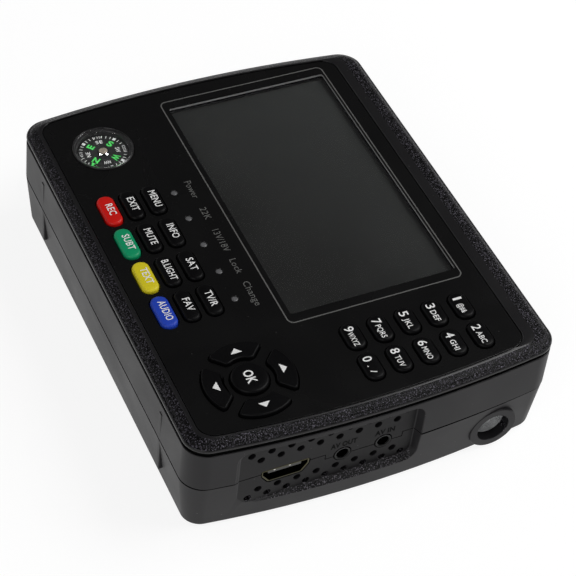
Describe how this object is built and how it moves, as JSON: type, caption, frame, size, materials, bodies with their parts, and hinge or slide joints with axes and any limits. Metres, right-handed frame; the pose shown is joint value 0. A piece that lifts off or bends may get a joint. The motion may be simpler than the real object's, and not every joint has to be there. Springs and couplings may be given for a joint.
{
  "type": "satellite signal meter",
  "caption": "Handheld meter with a wide display, a number keypad, coloured function keys, a cursor pad, a compass, a torch and sockets in its side walls.",
  "frame": {"origin": "middle of the whole outline, aerial connector included, on the surface that the meter lies on", "axes": "+X the way the key legends read, towards the video socket and the torch; +Y up the display; +Z out of the front panel"},
  "size_m": [0.1619, 0.1206, 0.04],
  "materials": {
    "cover_plastic": "fine spark texture",
    "panel_print": "satin print",
    "clear_plastic": "clear",
    "gasket_rubber": "soft",
    "screen_glass": "dark, switched off",
    "steel": "plated",
    "tinned_metal": "dull",
    "rubber_black": "silicone",
    "rubber_red": "silicone",
    "rubber_green": "silicone",
    "rubber_yellow": "silicone",
    "rubber_blue": "silicone",
    "frosted_plastic": "frosted",
    "black_plastic": "moulded",
    "card_paint": "painted",
    "laminate": "circuit board",
    "speaker_frame": "painted",
    "cell_wrap": "wrapped"
  },
  "bodies": {
    "case": {"front_cover": "cover_plastic", "back_cover": "cover_plastic", "front_panel": "panel_print", "display_window": "clear_plastic", "window_gasket": "gasket_rubber", "lcd_glass": "screen_glass", "lcd_frame": "steel", "keypad_sheet": "rubber_black", "signal_light_pipe": "frosted_plastic", "compass_housing": "black_plastic", "compass_window": "clear_plastic", "front_board": "laminate", "main_board": "laminate", "tuner_can": "tinned_metal", "video_socket": "steel", "av_out_jack": "black_plastic", "av_in_jack": "black_plastic", "torch_lens": "frosted_plastic", "torch_lamp": "frosted_plastic", "lnb_connector": "steel", "power_inlet": "black_plastic", "data_socket": "steel", "power_switch_body": "black_plastic", "speaker": "speaker_frame", "battery_cell_a": "cell_wrap", "battery_cell_b": "cell_wrap", "case_screw_1": "steel", "case_screw_2": "steel", "case_screw_3": "steel", "case_screw_4": "steel"},
    "key_record": {"key_record": "rubber_red"},
    "key_subtitle": {"key_subtitle": "rubber_green"},
    "key_text": {"key_text": "rubber_yellow"},
    "key_audio": {"key_audio": "rubber_blue"},
    "key_exit": {"key_exit": "rubber_black"},
    "key_mute": {"key_mute": "rubber_black"},
    "key_backlight": {"key_backlight": "rubber_black"},
    "key_favourite": {"key_favourite": "rubber_black"},
    "key_menu": {"key_menu": "rubber_black"},
    "key_info": {"key_info": "rubber_black"},
    "key_satellite": {"key_satellite": "rubber_black"},
    "key_television_radio": {"key_television_radio": "rubber_black"},
    "key_0": {"key_0": "rubber_black"},
    "key_1": {"key_1": "rubber_black"},
    "key_2": {"key_2": "rubber_black"},
    "key_3": {"key_3": "rubber_black"},
    "key_4": {"key_4": "rubber_black"},
    "key_5": {"key_5": "rubber_black"},
    "key_6": {"key_6": "rubber_black"},
    "key_7": {"key_7": "rubber_black"},
    "key_8": {"key_8": "rubber_black"},
    "key_9": {"key_9": "rubber_black"},
    "key_up": {"key_up": "rubber_black"},
    "key_down": {"key_down": "rubber_black"},
    "key_left": {"key_left": "rubber_black"},
    "key_right": {"key_right": "rubber_black"},
    "key_ok": {"key_ok": "rubber_black"},
    "compass": {"compass_card": "card_paint"},
    "power_switch": {"power_switch_knob": "black_plastic"}
  },
  "joints": [
    {"name": "key_record_press", "type": "slide", "parent": "case", "child": "key_record", "axis": [0, 0, 1], "range_m": [-0.0008, 0], "stiffness_N_per_m": 800},
    {"name": "key_subtitle_press", "type": "slide", "parent": "case", "child": "key_subtitle", "axis": [0, 0, 1], "range_m": [-0.0008, 0], "stiffness_N_per_m": 800},
    {"name": "key_text_press", "type": "slide", "parent": "case", "child": "key_text", "axis": [0, 0, 1], "range_m": [-0.0008, 0], "stiffness_N_per_m": 800},
    {"name": "key_audio_press", "type": "slide", "parent": "case", "child": "key_audio", "axis": [0, 0, 1], "range_m": [-0.0008, 0], "stiffness_N_per_m": 800},
    {"name": "key_exit_press", "type": "slide", "parent": "case", "child": "key_exit", "axis": [0, 0, 1], "range_m": [-0.0008, 0], "stiffness_N_per_m": 800},
    {"name": "key_mute_press", "type": "slide", "parent": "case", "child": "key_mute", "axis": [0, 0, 1], "range_m": [-0.0008, 0], "stiffness_N_per_m": 800},
    {"name": "key_backlight_press", "type": "slide", "parent": "case", "child": "key_backlight", "axis": [0, 0, 1], "range_m": [-0.0008, 0], "stiffness_N_per_m": 800},
    {"name": "key_favourite_press", "type": "slide", "parent": "case", "child": "key_favourite", "axis": [0, 0, 1], "range_m": [-0.0008, 0], "stiffness_N_per_m": 800},
    {"name": "key_menu_press", "type": "slide", "parent": "case", "child": "key_menu", "axis": [0, 0, 1], "range_m": [-0.0008, 0], "stiffness_N_per_m": 800},
    {"name": "key_info_press", "type": "slide", "parent": "case", "child": "key_info", "axis": [0, 0, 1], "range_m": [-0.0008, 0], "stiffness_N_per_m": 800},
    {"name": "key_satellite_press", "type": "slide", "parent": "case", "child": "key_satellite", "axis": [0, 0, 1], "range_m": [-0.0008, 0], "stiffness_N_per_m": 800},
    {"name": "key_television_radio_press", "type": "slide", "parent": "case", "child": "key_television_radio", "axis": [0, 0, 1], "range_m": [-0.0008, 0], "stiffness_N_per_m": 800},
    {"name": "key_0_press", "type": "slide", "parent": "case", "child": "key_0", "axis": [0, 0, 1], "range_m": [-0.0008, 0], "stiffness_N_per_m": 800},
    {"name": "key_1_press", "type": "slide", "parent": "case", "child": "key_1", "axis": [0, 0, 1], "range_m": [-0.0008, 0], "stiffness_N_per_m": 800},
    {"name": "key_2_press", "type": "slide", "parent": "case", "child": "key_2", "axis": [0, 0, 1], "range_m": [-0.0008, 0], "stiffness_N_per_m": 800},
    {"name": "key_3_press", "type": "slide", "parent": "case", "child": "key_3", "axis": [0, 0, 1], "range_m": [-0.0008, 0], "stiffness_N_per_m": 800},
    {"name": "key_4_press", "type": "slide", "parent": "case", "child": "key_4", "axis": [0, 0, 1], "range_m": [-0.0008, 0], "stiffness_N_per_m": 800},
    {"name": "key_5_press", "type": "slide", "parent": "case", "child": "key_5", "axis": [0, 0, 1], "range_m": [-0.0008, 0], "stiffness_N_per_m": 800},
    {"name": "key_6_press", "type": "slide", "parent": "case", "child": "key_6", "axis": [0, 0, 1], "range_m": [-0.0008, 0], "stiffness_N_per_m": 800},
    {"name": "key_7_press", "type": "slide", "parent": "case", "child": "key_7", "axis": [0, 0, 1], "range_m": [-0.0008, 0], "stiffness_N_per_m": 800},
    {"name": "key_8_press", "type": "slide", "parent": "case", "child": "key_8", "axis": [0, 0, 1], "range_m": [-0.0008, 0], "stiffness_N_per_m": 800},
    {"name": "key_9_press", "type": "slide", "parent": "case", "child": "key_9", "axis": [0, 0, 1], "range_m": [-0.0008, 0], "stiffness_N_per_m": 800},
    {"name": "key_up_press", "type": "slide", "parent": "case", "child": "key_up", "axis": [0, 0, 1], "range_m": [-0.0008, 0], "stiffness_N_per_m": 800},
    {"name": "key_down_press", "type": "slide", "parent": "case", "child": "key_down", "axis": [0, 0, 1], "range_m": [-0.0008, 0], "stiffness_N_per_m": 800},
    {"name": "key_left_press", "type": "slide", "parent": "case", "child": "key_left", "axis": [0, 0, 1], "range_m": [-0.0008, 0], "stiffness_N_per_m": 800},
    {"name": "key_right_press", "type": "slide", "parent": "case", "child": "key_right", "axis": [0, 0, 1], "range_m": [-0.0008, 0], "stiffness_N_per_m": 800},
    {"name": "key_ok_press", "type": "slide", "parent": "case", "child": "key_ok", "axis": [0, 0, 1], "range_m": [-0.0008, 0], "stiffness_N_per_m": 800},
    {"name": "compass_turn", "type": "hinge", "parent": "case", "child": "compass", "pos_m": [-0.0476, -0.0392, 0.0361], "axis": [0, 0, 1], "continuous": true},
    {"name": "power_switch_slide", "type": "slide", "parent": "case", "child": "power_switch", "axis": [0, 1, 0], "range_m": [0, 0.003]}
  ]
}
